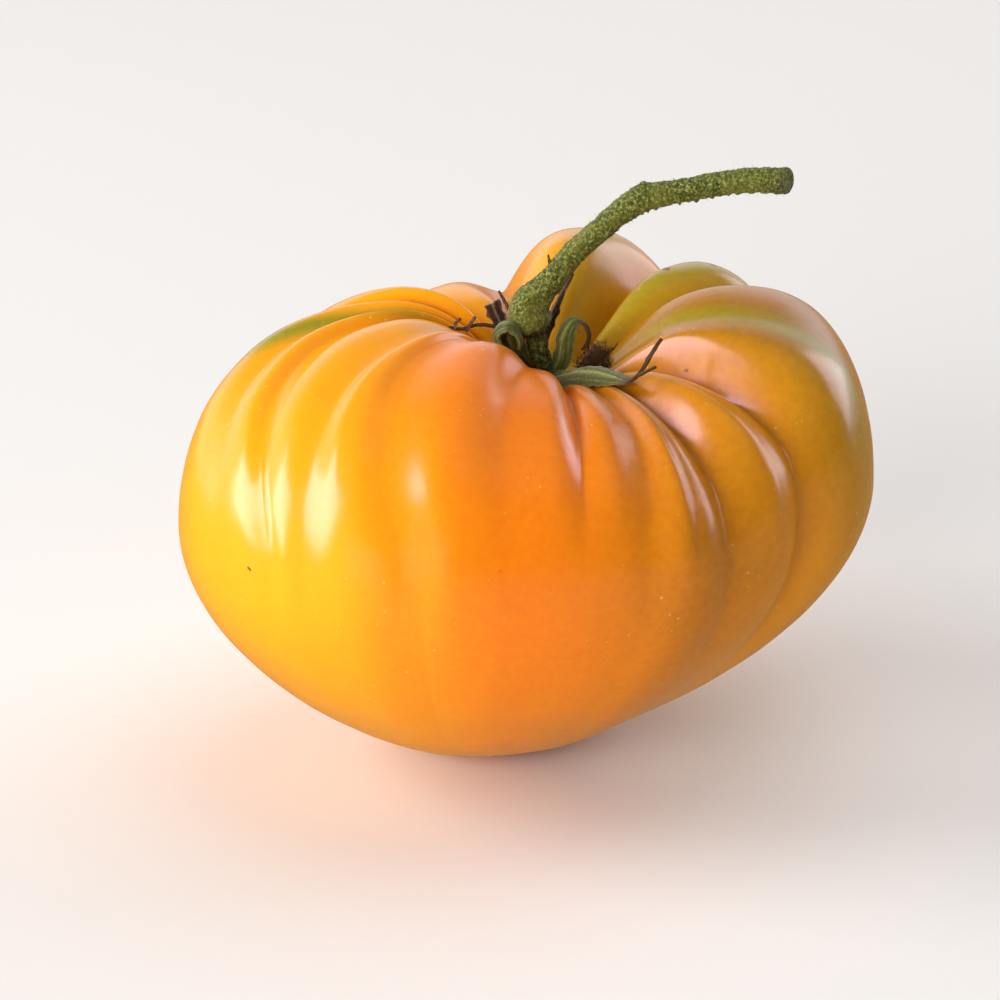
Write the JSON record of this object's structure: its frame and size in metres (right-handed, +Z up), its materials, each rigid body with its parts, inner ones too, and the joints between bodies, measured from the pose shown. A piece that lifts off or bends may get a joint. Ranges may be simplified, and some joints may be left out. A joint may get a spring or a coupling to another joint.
{
  "type": "heirloom tomato",
  "caption": "Large ribbed yellow-orange heirloom tomato with a bent green stem and a curled green calyx, resting on its base.",
  "frame": {"origin": "centre of the fruit's width and depth, on the surface that it rests on", "axes": "+Z up; +X to the viewer's right, the way the stem bends; -Y towards the viewer"},
  "size_m": [0.1237, 0.113, 0.1055],
  "materials": {
    "tomato_skin": "smooth, softly glossy ripe skin, yellow to deep orange with green shoulders",
    "calyx_green": "matt leafy green, withered brown at the tips",
    "stem_green": "matt green stalk with fine short hairs"
  },
  "bodies": {
    "root": {"fruit": "tomato_skin", "calyx": "calyx_green", "stem": "stem_green"}
  },
  "joints": []
}
